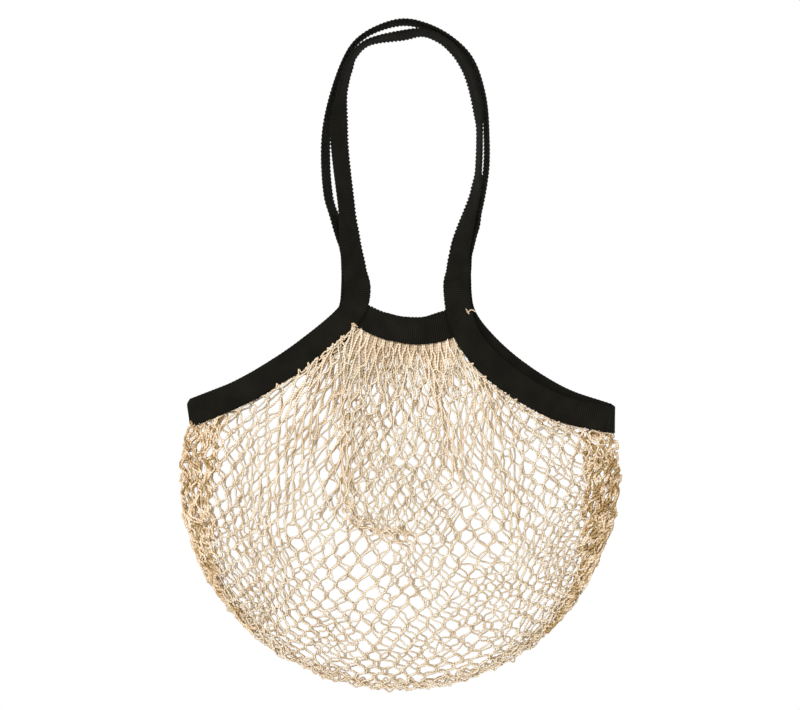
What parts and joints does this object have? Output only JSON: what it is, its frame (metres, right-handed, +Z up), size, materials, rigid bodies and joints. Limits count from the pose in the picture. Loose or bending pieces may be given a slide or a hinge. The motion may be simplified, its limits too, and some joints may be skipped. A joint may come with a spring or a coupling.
{
  "type": "string shopping bag",
  "caption": "Cotton string shopping bag lying flat: a rounded net pouch with a tape-bound mouth and long tape handles for carrying groceries.",
  "frame": {"origin": "middle of the bounding box in plan, on the floor that the bag lies on", "axes": "+X across the bag to the right, +Y from the foot of the net towards the handles, +Z up from the floor through the front of the bag"},
  "size_m": [0.4044, 0.6172, 0.0236],
  "materials": {
    "string": "undyed twisted cotton string, matt, cream to tan",
    "tape": "ribbed woven cotton tape, folded lengthwise, matt warm black"
  },
  "bodies": {
    "root": {"net": "string", "strap": "tape", "mouth_tape_front": "tape", "mouth_tape_back": "tape"}
  },
  "joints": []
}
